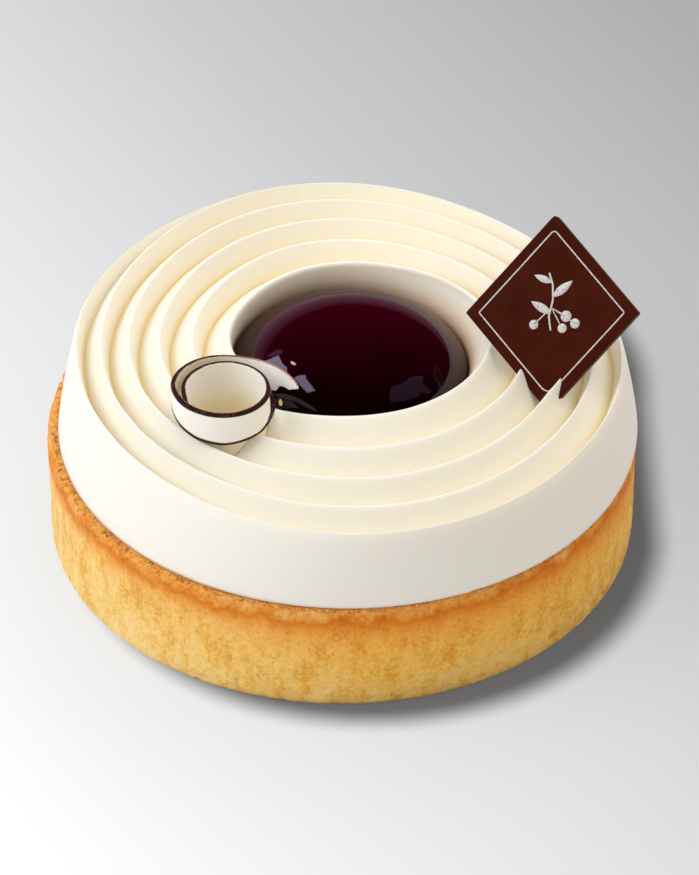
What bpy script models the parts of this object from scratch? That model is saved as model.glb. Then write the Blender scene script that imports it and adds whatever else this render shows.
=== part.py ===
"""Blackcurrant and coconut tartlet: shell, piped cream, glazed dome, curl and plaque."""
import math

import bmesh
import bpy
from mathutils import Matrix, Vector

# driving sizes, metres
fit_gap = 0.0003

shell_radius = 0.050
shell_height = 0.020
shell_foot_round = 0.0009
shell_rim_round = 0.0013
shell_sides = 92

# the cream is one ribbon piped clockwise from the well outwards, on a hand-turned stand
cream_base_centre = (0.0010, 0.0)
cream_base_radius = 0.0489
spiral_centre = (0.0016, 0.0018)
start_angle = math.radians(205)     # where the ribbon starts, behind the curl
first_radius = 0.0182
pitch = 0.00703                     # growth of the first turn
pitch_loss = 0.00022                # what each later turn grows less
crest_height = 0.0377
crest_fall = 0.00063                # each turn's crest lies this much lower
groove_depth = 0.0047
crest_roundness = 0.10              # share of the depth over which the crest is rounded
groove_place = 0.71                 # the groove's place between two crests, 0 to 1
groove_narrowing = 0.8              # power by which a narrower groove is shallower
turns_full = 4                      # whole turns before the ribbon's end
start_overlap = 0.10                # share of a turn in which the start slips under the second turn
end_taper = (0.08, 0.27)            # shares of a turn between which the ribbon's end dies away
# order, cosine and sine, each with its change per turn: the unevenness of hand piping
unevenness = (
    (1, -0.00019, 0.00004, 0.00021, -0.00008),
    (2, 0.00169, -0.00070, 0.00047, -0.00038),
    (3, 0.00004, 0.00010, -0.00031, 0.00004),
    (4, -0.00002, 0.00007, 0.00026, 0.00000),
)
least_ring = 0.03                   # narrower rings are left out
cream_columns = 108
ring_shares = (0.0, 0.07, 0.40, 0.69, 0.75, 0.93)   # samples across one groove
lip_in, lip_down = 0.0005, 0.0008   # the rounding of the well's lip
well_funnel = (0.55, 0.0001)        # a point between well and lip: share of the way, and how far in
# points down the outer wall: share of the way to its foot, and the bulge out of the straight line
wall_bulge = ((0.06, 0.0004), (0.5, 0.0005), (0.9, 0.0002))

dome_centre = (0.0012, 0.0006)
dome_radius = 0.0199
dome_rise = 0.0064
dome_fullness = 4.0                 # power of the radius: 2 is an ellipse, more keeps the top flatter
dome_shoulder = 1.3                 # power of the height: less makes a straighter shoulder
dome_girth_height = 0.0310
dome_foot_height = 0.0263
dome_foot_inset = 0.0012            # its flat foot is smaller than its girth
dome_sides = 54

well_radius = dome_radius + fit_gap
well_floor_height = dome_foot_height - fit_gap

curl_centre = (-0.0189, -0.0189)
curl_thickness = 0.0008
curl_foot_height = 0.0316
curl_steps = 74
curl_rows = 4
# sweep clockwise from the inner end in degrees: radius of the top edge, flare of the foot,
# height of the foot, height of the top edge
curl_stations = (
    (-158, 0.0067, 0.0000, 0.0316, 0.0374),
    (-25, 0.0068, 0.0000, 0.0316, 0.0376),
    (25, 0.0068, 0.0000, 0.0316, 0.0418),
    (180, 0.0069, 0.0000, 0.0330, 0.0418),
    (198, 0.0069, 0.0000, 0.0382, 0.0418),
    (215, 0.0069, 0.0010, 0.0393, 0.0418),
    (260, 0.0069, 0.0012, 0.0373, 0.0418),
    (305, 0.0069, 0.0012, 0.0365, 0.0418),
    (335, 0.0072, 0.0010, 0.0367, 0.0419),
    (360, 0.0078, 0.0006, 0.0376, 0.0421),
    (395, 0.0085, 0.0000, 0.0389, 0.0425),
    (485, 0.0084, 0.0000, 0.0382, 0.0419),
    (506, 0.0085, 0.0000, 0.0380, 0.0419),
    (528, 0.0093, 0.0000, 0.0368, 0.0419),
    (540, 0.0098, 0.0000, 0.0365, 0.0419),
    (549, 0.0103, 0.0000, 0.0380, 0.0419),
    (562, 0.0111, 0.0000, 0.0391, 0.0419),
    (573, 0.0118, 0.0000, 0.0414, 0.0419),
)
curl_inner_end = 215                # compass place of sweep 0, degrees from +X

plaque_centre = (0.0346, -0.0025, 0.0447)   # of its printed face
plaque_diagonals = (0.0303, 0.0328)
plaque_thickness = 0.0014
plaque_corner = 0.0009
plaque_lean = math.radians(44)      # back from upright
plaque_yaw = math.radians(22)       # its printed face turned to the left
plaque_roll = math.radians(-2.6)    # its top corner off to the right

cutter_overrun = 0.010              # the curl's pocket is cut from this far above the cream
cutter_sides = 48


def clear_scene():
    for thing in list(bpy.data.objects):
        bpy.data.objects.remove(thing, do_unlink=True)


def make_collection(name):
    collection = bpy.data.collections.new(name)
    bpy.context.scene.collection.children.link(collection)
    return collection


def make_material(name, colour, roughness):
    material = bpy.data.materials.new(name)
    material.use_nodes = True
    shader = material.node_tree.nodes["Principled BSDF"]
    shader.inputs["Base Color"].default_value = (*colour, 1.0)
    shader.inputs["Roughness"].default_value = roughness
    shader.inputs["Metallic"].default_value = 0.0
    return material


def add_object(name, mesh, collection, material=None):
    thing = bpy.data.objects.new(name, mesh)
    collection.objects.link(thing)
    if material:
        mesh.materials.append(material)
    return thing


def mesh_from_rows(name, rows):
    """Quads between neighbouring rows of vertex numbers; a repeated number closes a corner."""
    points, lines = rows
    build = bmesh.new()
    verts = [build.verts.new(point) for point in points]
    for here, there in zip(lines, lines[1:]):
        for low, high in zip(range(len(here)), range(1, len(here))):
            ring = dict.fromkeys((here[low], there[low], there[high], here[high]))
            if len(ring) > 2:
                build.faces.new([verts[number] for number in ring])
    bmesh.ops.recalc_face_normals(build, faces=build.faces)
    mesh = bpy.data.meshes.new(name)
    build.to_mesh(mesh)
    build.free()
    return mesh


def turned_object(name, profile, centre, sides, collection, material):
    """A profile of radius and height turned once round a standing axis."""
    mesh = bpy.data.meshes.new(name)
    points = [(radius, 0.0, height) for radius, height in profile]
    mesh.from_pydata(points, [(i, i + 1) for i in range(len(points) - 1)], [])
    thing = add_object(name, mesh, collection, material)
    thing.location = (*centre, 0.0)
    screw = thing.modifiers.new("turn", "SCREW")
    screw.axis = "Z"
    screw.steps = sides
    screw.render_steps = sides
    screw.use_merge_vertices = True
    screw.merge_threshold = 0.00001
    screw.use_normal_flip = True
    return thing


def cut(thing, cutter):
    modifier = thing.modifiers.new("cut " + cutter.name, "BOOLEAN")
    modifier.operation = "DIFFERENCE"
    modifier.solver = "EXACT"
    modifier.object = cutter
    cutter.hide_render = True
    cutter.display_type = "WIRE"


def arc(centre, radius, from_degrees, to_degrees, steps):
    """Points of an arc in a profile, as radius and height."""
    spread = to_degrees - from_degrees
    turns = [math.radians(from_degrees + spread * i / steps) for i in range(steps + 1)]
    return [(centre[0] + radius * math.cos(t), centre[1] + radius * math.sin(t)) for t in turns]


def make_shell(collection):
    foot, rim = shell_foot_round, shell_rim_round
    profile = [(0.0, 0.0)]
    profile += arc((shell_radius - foot, foot), foot, -90, 0, 5)
    profile += arc((shell_radius - rim, shell_height - rim), rim, 0, 90, 4)
    profile += [(0.0, shell_height)]
    pastry = make_material("short pastry", (0.75, 0.48, 0.19), 0.75)
    return turned_object("tart_shell", profile, (0.0, 0.0), shell_sides, collection, pastry)


def ease(share):
    share = min(max(share, 0.0), 1.0)
    return share * share * (3 - 2 * share)


def spiral_radius(turn, angle):
    """Distance of the ribbon from its centre: an even spiral with the piping's unevenness."""
    radius = first_radius + pitch * turn - pitch_loss * turn * turn
    for order, cosine, cosine_growth, sine, sine_growth in unevenness:
        radius += (cosine + cosine_growth * turn) * math.cos(order * angle)
        radius += (sine + sine_growth * turn) * math.sin(order * angle)
    return radius


def cream_point(turn, angle, drop):
    radius = spiral_radius(turn, angle)
    return Vector((
        spiral_centre[0] + radius * math.cos(angle),
        spiral_centre[1] + radius * math.sin(angle),
        crest_height - crest_fall * turn - drop,
    ))


def crest_turns(share):
    """Turns of the crests met going outwards at one share of a turn, clamped to lip and wall."""
    lip = share - ease((share - 1 + start_overlap) / start_overlap)
    begin, end = end_taper
    wall = share + turns_full + 1 - ease((share - begin) / (end - begin))
    turns = [min(max(share + ring - 1, lip), wall) for ring in range(turns_full + 3)]
    # a ring that is barely there is closed up to its inner or outer neighbour
    turns[1] = lip if turns[1] - lip < least_ring else turns[1]
    turns[-2] = wall if wall - turns[-2] < least_ring else turns[-2]
    return turns


def groove_drop(share, width):
    """Depth between two crests: a long outward slope and a short steep inward one."""
    if share < groove_place:
        depth = share / groove_place
    else:
        depth = (1 - share) / (1 - groove_place)
    # square root of the squares of depth and roundness: straight slopes that meet in a round crest
    rounded = math.hypot(depth, crest_roundness) - crest_roundness
    return groove_depth * rounded * width ** groove_narrowing


def cream_column(share):
    """One radial section of the cream, from the rim of the well's floor to the foot of the wall."""
    angle = start_angle - math.tau * share
    way = Vector((math.cos(angle), math.sin(angle), 0.0))
    turns = crest_turns(share)
    well_axis = Vector((*dome_centre, 0.0))
    base_axis = Vector((*cream_base_centre, 0.0))

    def on_ring(axis, radius, height):
        # where the ray at this angle from the spiral's centre meets a circle round the axis
        start = Vector((*spiral_centre, 0.0)) - axis
        along = start.dot(way)
        reach = -along + math.sqrt(along * along - start.length_squared + radius * radius)
        point = axis + start + way * reach
        return Vector((point.x, point.y, height))

    points = [on_ring(well_axis, well_radius, well_floor_height)]
    well_top = on_ring(well_axis, well_radius, dome_girth_height)
    lip = cream_point(turns[0], angle, 0.0)
    points.append(well_top)
    points.append(well_top.lerp(lip, well_funnel[0]) - way * well_funnel[1])
    points.append(lip - way * lip_in - Vector((0.0, 0.0, lip_down)))
    for near, far in zip(turns, turns[1:]):
        for part in ring_shares:
            drop = groove_drop(part, far - near)
            points.append(cream_point(near + (far - near) * part, angle, drop))
    wall = cream_point(turns[-1], angle, 0.0)
    foot = on_ring(base_axis, cream_base_radius, shell_height + fit_gap)
    points.append(wall)
    points += [wall.lerp(foot, part) + way * bulge for part, bulge in wall_bulge]
    points.append(foot)
    return points


def make_cream(collection):
    """Radial sections all round. Each turn gains a ring, so the last meets the first one ring on."""
    points = [Vector((*spiral_centre, well_floor_height)),
              Vector((*spiral_centre, shell_height + fit_gap))]
    lines = []
    for index in range(cream_columns):
        line = [0]
        for point in cream_column(index / cream_columns):
            if line[-1] == 0 or (point - points[line[-1]]).length > 1e-8:
                points.append(point)
            line.append(len(points) - 1)
        lines.append(line + [1])
    first = lines[0]
    step = len(ring_shares)
    wall_start = len(first) - len(wall_bulge) - 3
    ring_start = wall_start - step * (turns_full + 2)
    shifted = first[ring_start + step:wall_start] + [first[wall_start]] * step
    lines.append(first[:ring_start] + shifted + first[wall_start:])
    mesh = mesh_from_rows("coconut_cream", (points, lines))
    cream = make_material("coconut cream", (0.96, 0.93, 0.84), 0.45)
    return add_object("coconut_cream", mesh, collection, cream)


def make_dome(collection):
    depth = dome_girth_height - dome_foot_height
    foot_radius = dome_radius - dome_foot_inset
    profile = [(0.0, dome_foot_height), (foot_radius, dome_foot_height)]
    for degrees in (20, 45, 70):
        turn = math.radians(degrees)
        profile.append((
            foot_radius + (dome_radius - foot_radius) * math.sin(turn),
            dome_girth_height - depth * math.cos(turn),
        ))
    for degrees in range(0, 90, 9):
        turn = math.radians(degrees)
        profile.append((
            dome_radius * math.cos(turn) ** (2 / dome_fullness),
            dome_girth_height + dome_rise * math.sin(turn) ** (2 / dome_shoulder),
        ))
    profile.append((0.0, dome_girth_height + dome_rise))
    glaze = make_material("blackcurrant glaze", (0.035, 0.002, 0.012), 0.08)
    return turned_object("blackcurrant_dome", profile, dome_centre, dome_sides, collection, glaze)


def curl_station(sweep):
    """Radius, flare, foot and top of the ribbon at one sweep, eased between the stations."""
    for low, high in zip(curl_stations, curl_stations[1:]):
        if sweep <= high[0]:
            break
    share = (sweep - low[0]) / (high[0] - low[0])
    share = 0.5 * share + 0.5 * ease(share)
    return [a + (b - a) * share for a, b in zip(low[1:], high[1:])]


def make_curl(collection):
    first, last = curl_stations[0][0], curl_stations[-1][0]
    points, lines = [], []
    for step in range(curl_steps + 1):
        sweep = first + (last - first) * step / curl_steps
        radius, flare, foot, top = curl_station(sweep)
        turn = math.radians(curl_inner_end - sweep)
        lines.append([len(points) + level for level in range(curl_rows + 1)])
        for level in range(curl_rows + 1):
            up = level / curl_rows
            reach = radius + flare * (1 - up)
            points.append((
                curl_centre[0] + reach * math.cos(turn),
                curl_centre[1] + reach * math.sin(turn),
                foot + (top - foot) * up,
            ))
    mesh = mesh_from_rows("chocolate_curl", (points, lines))
    chocolate = make_material("white chocolate", (0.90, 0.85, 0.74), 0.40)
    curl = add_object("chocolate_curl", mesh, collection, chocolate)
    solid = curl.modifiers.new("thickness", "SOLIDIFY")
    solid.thickness = curl_thickness
    solid.offset = 0.0
    solid.use_even_offset = True
    return curl


def plaque_matrix():
    """Right along one diagonal, up along the other, out of the printed face."""
    right = Vector((1.0, 0.0, 0.0))
    up = Vector((0.0, math.sin(plaque_lean), math.cos(plaque_lean)))
    out = right.cross(up)
    side = right * math.cos(plaque_yaw) + out * math.sin(plaque_yaw)
    face = side.cross(up)
    middle = Vector(plaque_centre) - face * plaque_thickness / 2
    turned = Matrix((side, up, face)).transposed().to_4x4() @ Matrix.Rotation(plaque_roll, 4, "Z")
    return Matrix.Translation(middle) @ turned


def plaque_body(name, grow, collection, material=None):
    build = bmesh.new()
    bmesh.ops.create_cone(
        build, cap_ends=True, segments=4, radius1=0.5, radius2=0.5, depth=1.0)
    across, high = plaque_diagonals
    # moving a side out by the growth moves the corner out by growth times side over half diagonal
    side = math.hypot(across, high)
    across_grown = across + 2 * grow * side / high
    high_grown = high + 2 * grow * side / across
    spread = Matrix.Diagonal((across_grown, high_grown, plaque_thickness + 2 * grow, 1.0))
    bmesh.ops.transform(build, matrix=spread, verts=build.verts)
    mesh = bpy.data.meshes.new(name)
    build.to_mesh(mesh)
    build.free()
    thing = add_object(name, mesh, collection, material)
    thing.matrix_world = plaque_matrix()
    corners = thing.modifiers.new("corners", "BEVEL")
    corners.width = plaque_corner
    corners.segments = 3
    corners.limit_method = "WEIGHT"
    weights = mesh.attributes.new("bevel_weight_edge", "FLOAT", "EDGE")
    for edge in mesh.edges:
        ends = [mesh.vertices[i].co for i in edge.vertices]
        standing = abs(ends[0].z - ends[1].z) > plaque_thickness / 2
        weights.data[edge.index].value = 1.0 if standing else 0.0
    return thing


def make_plaque(collection):
    chocolate = make_material("dark chocolate", (0.055, 0.012, 0.004), 0.35)
    return plaque_body("chocolate_plaque", 0.0, collection, chocolate)


def make_cutters(collection):
    """The plaque's slot, and the place pressed into the cream by the curl."""
    slot = plaque_body("plaque_slot", fit_gap, collection)
    foot = curl_foot_height - fit_gap
    radius = curl_stations[2][1] + curl_thickness / 2 + fit_gap
    top = crest_height + cutter_overrun
    profile = [(0.0, foot), (radius, foot), (radius, top), (0.0, top)]
    pocket = turned_object("curl_pocket", profile, curl_centre, cutter_sides, collection, None)
    return slot, pocket


def main():
    clear_scene()
    tartlet = make_collection("blackcurrant coconut tartlet")
    cutters = make_collection("cutters")
    make_shell(tartlet)
    cream = make_cream(tartlet)
    make_dome(tartlet)
    make_curl(tartlet)
    make_plaque(tartlet)
    for cutter in make_cutters(cutters):
        cut(cream, cutter)


main()
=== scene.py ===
# Coconut blackcurrant tartlet on a pale table, seen from the front and above.
import math

import bmesh
import bpy
import numpy as np
from mathutils import Matrix, Vector


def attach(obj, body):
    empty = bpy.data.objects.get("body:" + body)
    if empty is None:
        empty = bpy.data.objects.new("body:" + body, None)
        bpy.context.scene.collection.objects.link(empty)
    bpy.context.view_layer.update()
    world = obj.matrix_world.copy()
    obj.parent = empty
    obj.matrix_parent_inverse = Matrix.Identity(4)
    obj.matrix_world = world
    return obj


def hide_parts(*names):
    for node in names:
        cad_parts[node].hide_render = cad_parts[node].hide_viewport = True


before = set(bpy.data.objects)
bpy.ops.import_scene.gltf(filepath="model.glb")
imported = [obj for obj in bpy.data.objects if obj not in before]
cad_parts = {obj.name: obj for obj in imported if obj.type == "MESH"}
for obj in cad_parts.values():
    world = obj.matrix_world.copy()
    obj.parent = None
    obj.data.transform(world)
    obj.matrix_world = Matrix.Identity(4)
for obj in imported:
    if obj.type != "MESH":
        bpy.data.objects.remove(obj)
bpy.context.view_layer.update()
millimetre = 0.001


def linearColour(hexCode):
    # sRGB to linear: each channel over 12.92 when dark, else ((c + 0.055) / 1.055) to the power 2.4
    channels = [int(hexCode[place:place + 2], 16) / 255 for place in (1, 3, 5)]
    return [c / 12.92 if c <= 0.04045 else ((c + 0.055) / 1.055) ** 2.4 for c in channels] + [1.0]


def addNode(tree, kind, sockets=None, stops=None, out=0, **settings):
    # a new node, of which one output is returned: settings are its properties, sockets its inputs by name
    # or number, each a value, a hex colour or a link, and stops the places and hex colours of a ramp
    node = tree.nodes.new("ShaderNode" + kind)
    for name, value in settings.items():
        setattr(node, name, value)
    for name, value in (sockets or {}).items():
        if isinstance(value, bpy.types.NodeSocket):
            tree.links.new(value, node.inputs[name])
        else:
            node.inputs[name].default_value = linearColour(value) if isinstance(value, str) else value
    for _ in range(len(stops or ()) - 2):
        node.color_ramp.elements.new(0.5)
    for index, (place, hexCode) in enumerate(stops or ()):
        node.color_ramp.elements[index].position = place
        node.color_ramp.elements[index].color = linearColour(hexCode)
    return node.outputs[out]


def addMath(tree, operation, *values):
    # arithmetic on values or links
    return addNode(tree, "Math", dict(enumerate(values)), operation=operation)


def addRange(tree, value, low, high, first=0.0, last=1.0):
    # a value that runs from low to high made to run from first to last, and held there beyond
    return addNode(tree, "MapRange", dict(enumerate((value, low, high, first, last))))


def addMix(tree, share, under, over, way="MIX"):
    # that share of one colour over another
    return addNode(tree, "Mix", {0: share, 6: under, 7: over}, data_type="RGBA", blend_type=way, out=2)


def addNoise(tree, place, scale, detail=2.0, roughness=0.5):
    # soft noise of that many cells to the metre
    return addNode(tree, "TexNoise", {
        "Vector": place, "Scale": scale, "Detail": detail, "Roughness": roughness})


def newMaterial(name, **principled):
    # a material with its Principled shader, whose even values are set on its own sockets
    material = bpy.data.materials.new(name)
    material.use_nodes = True
    tree = material.node_tree
    shader = tree.nodes["Principled BSDF"]
    for socket, value in principled.items():
        shader.inputs[socket.replace("_", " ")].default_value = value
    return material, tree, shader


def plug(shader, **links):
    # links worked-out values to the shader's sockets, whose names are written with _ for a space
    for socket, value in links.items():
        shader.id_data.links.new(value, shader.inputs[socket.replace("_", " ")])


def ease(share):
    # slow at both ends: 3 s squared minus 2 s cubed
    share = np.clip(share, 0.0, 1.0)
    return share * share * (3 - 2 * share)


def softNoise(points, cell, seed):
    # random values on a lattice of that cell, eased between the eight corners round each point, -1 to 1
    table = np.random.default_rng(seed).uniform(-1.0, 1.0, 4096)
    scaled = points / cell
    corner = np.floor(scaled).astype(np.int64)
    share = ease(scaled - corner)
    total = np.zeros(points.shape[:-1])
    for step in np.ndindex(2, 2, 2):
        place = corner + np.array(step)
        key = (place[..., 0] * 73856093) ^ (place[..., 1] * 19349663) ^ (place[..., 2] * 83492791)
        weight = np.prod(np.where(np.array(step) == 1, share, 1 - share), axis=-1)
        total += table[key % 4096] * weight
    return total


def layeredNoise(points, layers, base=0.0):
    # the base plus soft noises, each given by its cell, weight and seed
    for cell, weight, seed in layers:
        base = base + weight * softNoise(points, cell, seed)
    return base


def roundPoints(centre, reach, angle, height):
    # points at that reach and angle round a centre, and at that height
    return np.stack(np.broadcast_arrays(
        centre[0] + reach * np.cos(angle), centre[1] + reach * np.sin(angle), height), axis=-1)


def surfacePiece(name, grids, material, wrap=True, attributes=None):
    # quads over each grid of points, rows by columns; equal points merge, so poles and seams close
    quads, first = [], 0
    for grid in grids:
        rows, columns = grid.shape[:2]
        number = first + np.arange(rows * columns).reshape(rows, columns)
        first += rows * columns
        if wrap:
            number = np.concatenate([number, number[:, :1]], axis=1)
        corners = [number[:-1, :-1], number[:-1, 1:], number[1:, 1:], number[1:, :-1]]
        quads.append(np.stack(corners, axis=-1).reshape(-1, 4))
    mesh = bpy.data.meshes.new(name)
    mesh.from_pydata(np.concatenate([grid.reshape(-1, 3) for grid in grids]), [], np.concatenate(quads))
    for key, values in (attributes or {}).items():
        layer = mesh.attributes.new(key, "FLOAT", "POINT")
        layer.data.foreach_set("value", np.asarray(values, dtype=np.float32).ravel())
    build = bmesh.new()
    build.from_mesh(mesh)
    bmesh.ops.remove_doubles(build, verts=build.verts, dist=1e-7)
    bmesh.ops.recalc_face_normals(build, faces=build.faces)
    for face in build.faces:
        face.smooth = True
    triangles = sum(len(face.verts) - 2 for face in build.faces)
    build.to_mesh(mesh)
    build.free()
    mesh.materials.append(material)
    piece = bpy.data.objects.new(name, mesh)
    bpy.context.scene.collection.objects.link(piece)
    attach(piece, "root")
    print(name, triangles, "triangles")
    return piece


cream = {
    "baseCentre": (0.0010, 0.0),
    "baseRadius": 0.0489,
    "baseHeight": 0.0203,
    "centre": (0.0016, 0.0018),
    "startAngle": math.radians(205),    # where the ribbon starts, behind the curl
    "firstRadius": 0.0182,
    "pitch": 0.00703,                   # growth of the first turn
    "pitchLoss": 0.00022,               # what each later turn grows less
    "crestHeight": 0.0377,
    "crestFall": 0.00063,
    "grooveDepth": 0.0047,
    "crestRoundness": 0.12,
    "groovePlace": 0.71,
    "grooveNarrowing": 0.8,
    "grooveFillet": 0.05,
    "turnsFull": 4,
    "startOverlap": 0.10,
    "endTaper": (0.08, 0.27),
    "leastRing": 0.03,
    # order, cosine and sine, each with its change per turn: the unevenness of hand piping
    "unevenness": (
        (1, -0.00019, 0.00004, 0.00021, -0.00008),
        (2, 0.00169, -0.00070, 0.00047, -0.00038),
        (3, 0.00004, 0.00010, -0.00031, 0.00004),
        (4, -0.00002, 0.00007, 0.00026, 0.00000),
    ),
    "columns": 560,
    "wellFunnel": 0.0003,               # how far the well's upper wall leans out of its straight line
    "lipStart": (0.0005, 0.0009),       # in and down from the lip to where its rounding starts
    "lipCorner": (0.00042, 0.0001),     # in and down from the lip to the corner that is rounded off
    "wallBulge": 0.0005,
    "bulgeStart": 0.04,                 # share of the wall over which the bulge sets in
    "wavering": 0.00009,                # height of the slight unevenness of the surface
    "waves": ((0.009, 0.6, 11), (0.0035, 0.3, 12)),
    "steady": (0.0206, 0.002),          # nothing wavers below it, and it sets in over this much above
    # the upright marks that the palette knife left on the wall: depth, width, and width to height
    "dragDepth": 0.00003,
    "dragWidth": 0.0016,
    "dragStretch": 0.08,
    # the crest that the plaque drew up when it was pushed in: place, pull and reach
    "peak": (0.0346, -0.0108, 0.0360),
    "peakPull": (0.0014, 0.0003, 0.0012),
    "peakReach": 0.0013,
    # the chocolate smear beside the plaque: middle and reach
    "smear": (0.0400, -0.0040, 0.0345),
    "smearReach": (0.0005, 0.0005, 0.0010),
}

dome = {
    "centre": (0.0012, 0.0006),
    "radius": 0.0199,
    "rise": 0.0064,
    "fullness": 4.0,                    # power of the radius: 2 is an ellipse, more keeps the top flatter
    "shoulder": 1.3,                    # power of the height: less makes a straighter shoulder
    "girthHeight": 0.0310,
    "footHeight": 0.0263,
    "footInset": 0.0012,
    "wellGap": 0.0003,
    "wavering": 0.00002,                # height of the slight waves in the poured glaze
    "waves": ((0.0080, 1.0, 31), (0.0030, 0.35, 32)),
    "steady": (0.030, 0.003),           # nothing wavers below it, and it sets in over this much above
}

curl = {
    "centre": (-0.0189, -0.0189),
    "corner": 0.00012,
    "innerEnd": 215,                    # compass place of sweep 0, degrees from +X
    "pocketRadius": 0.0069,
    "pocketFloor": 0.0306,
    "steps": 520,
    "gap": (345, 500, 0.0388),          # sweep from and to, and height, of the cream between the two turns
    "gapThickness": 0.0003,
    "gapTuck": 0.3,                     # share of the ribbon's thickness that it reaches into each turn
    # the stations are eased by a window of samples: degrees beyond each end, samples in all, in the window
    "easing": (30, 1597, 33),
    # sweep clockwise in degrees: radius of the top edge, flare of the foot, height of foot and of top,
    # thickness
    "stations": (
        (-158, 0.0067, 0.0000, 0.0307, 0.0374, 0.00060),
        (-25, 0.0068, 0.0000, 0.0307, 0.0376, 0.00070),
        (25, 0.0068, 0.0000, 0.0307, 0.0418, 0.00078),
        (120, 0.0069, 0.0000, 0.0307, 0.0418, 0.00060),
        (180, 0.0069, 0.0000, 0.0320, 0.0418, 0.00055),
        (198, 0.0069, 0.0000, 0.0382, 0.0418, 0.00062),
        (215, 0.0069, 0.0010, 0.0393, 0.0418, 0.00070),
        (260, 0.0069, 0.0012, 0.0373, 0.0418, 0.00080),
        (305, 0.0069, 0.0012, 0.0365, 0.0418, 0.00080),
        (335, 0.0072, 0.0010, 0.0367, 0.0419, 0.00085),
        (360, 0.0078, 0.0006, 0.0376, 0.0421, 0.00090),
        (395, 0.0085, 0.0000, 0.0389, 0.0425, 0.00085),
        (485, 0.0084, 0.0000, 0.0382, 0.0419, 0.00055),
        (506, 0.0085, 0.0000, 0.0380, 0.0419, 0.00045),
        (528, 0.0093, 0.0000, 0.0368, 0.0419, 0.00038),
        (540, 0.0098, 0.0000, 0.0365, 0.0419, 0.00035),
        (549, 0.0103, 0.0000, 0.0380, 0.0419, 0.00035),
        (562, 0.0111, 0.0000, 0.0391, 0.0419, 0.00033),
        (573, 0.0118, 0.0000, 0.0414, 0.0419, 0.00030),
    ),
    # sweep and height of what broke away from the foot of the tail
    "broken": ((536, 0.0), (541, 0.0001), (544, 0.0009), (548, 0.0007), (553, 0.0004), (558, 0.0001),
               (563, 0.0003), (568, 0.0), (571, 0.0004), (573, 0.0)),
    # sweep and width in millimetres of the dark line along the foot: the dark chocolate edge, and where it
    # widens, painted shade under the raised foot
    "footLineAndShade": ((-158, 0.45), (190, 3.5), (225, 3.5), (231, 2.4), (239, 1.2), (250, 0.66), (263, 0.46),
                 (300, 0.46), (330, 0.62), (400, 0.62), (573, 0.46)),
}


def ribbonRadius(turn, angle):
    # first radius plus pitch times turn, less the loss times turn squared, plus waves round the turn
    radius = cream["firstRadius"] + cream["pitch"] * turn - cream["pitchLoss"] * turn ** 2
    for order, cosine, cosineGrowth, sine, sineGrowth in cream["unevenness"]:
        radius = radius + (cosine + cosineGrowth * turn) * np.cos(order * angle)
        radius = radius + (sine + sineGrowth * turn) * np.sin(order * angle)
    return radius


def ribbonPoint(turn, angle, drop):
    # a point of the ribbon: its radius at that angle, at crest height less the fall per turn and the drop
    height = cream["crestHeight"] - cream["crestFall"] * turn - drop
    return roundPoints(cream["centre"], ribbonRadius(turn, angle), angle, height)


def crestTurns(share):
    # the crests met on the way out at each share of a turn, held between the well's lip and the wall
    overlap, (begin, end) = cream["startOverlap"], cream["endTaper"]
    lip = share - ease((share - 1 + overlap) / overlap)
    wall = share + cream["turnsFull"] + 1 - ease((share - begin) / (end - begin))
    turns = share[:, None] + np.arange(cream["turnsFull"] + 3) - 1
    turns = np.clip(turns, lip[:, None], wall[:, None])
    turns[:, 1] = np.where(turns[:, 1] - lip < cream["leastRing"], lip, turns[:, 1])
    turns[:, -2] = np.where(wall - turns[:, -2] < cream["leastRing"], wall, turns[:, -2])
    return turns


def grooveDrop(share, width):
    # a long slope out and a short steep one in, the lesser of the two rounded off by a root of squares
    down, up = share / cream["groovePlace"], (1 - share) / (1 - cream["groovePlace"])
    depth = (down + up - np.sqrt((down - up) ** 2 + cream["grooveFillet"] ** 2)) / 2
    roundness = cream["crestRoundness"]
    rounded = np.hypot(max(depth, 0.0), roundness) - roundness
    return cream["grooveDepth"] * rounded * width ** cream["grooveNarrowing"], rounded


def circlePoint(centre, radius, angle, height):
    # where the ray at this angle from the ribbon's centre meets a circle round another centre
    way = np.stack([np.cos(angle), np.sin(angle)], axis=-1)
    start = np.array(cream["centre"]) - np.array(centre)
    along = way @ start
    reach = -along + np.sqrt(along ** 2 - start @ start + radius ** 2)
    flat = np.array(cream["centre"]) + way * reach[:, None]
    return np.concatenate([flat, np.full((len(angle), 1), height)], axis=1)


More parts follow.
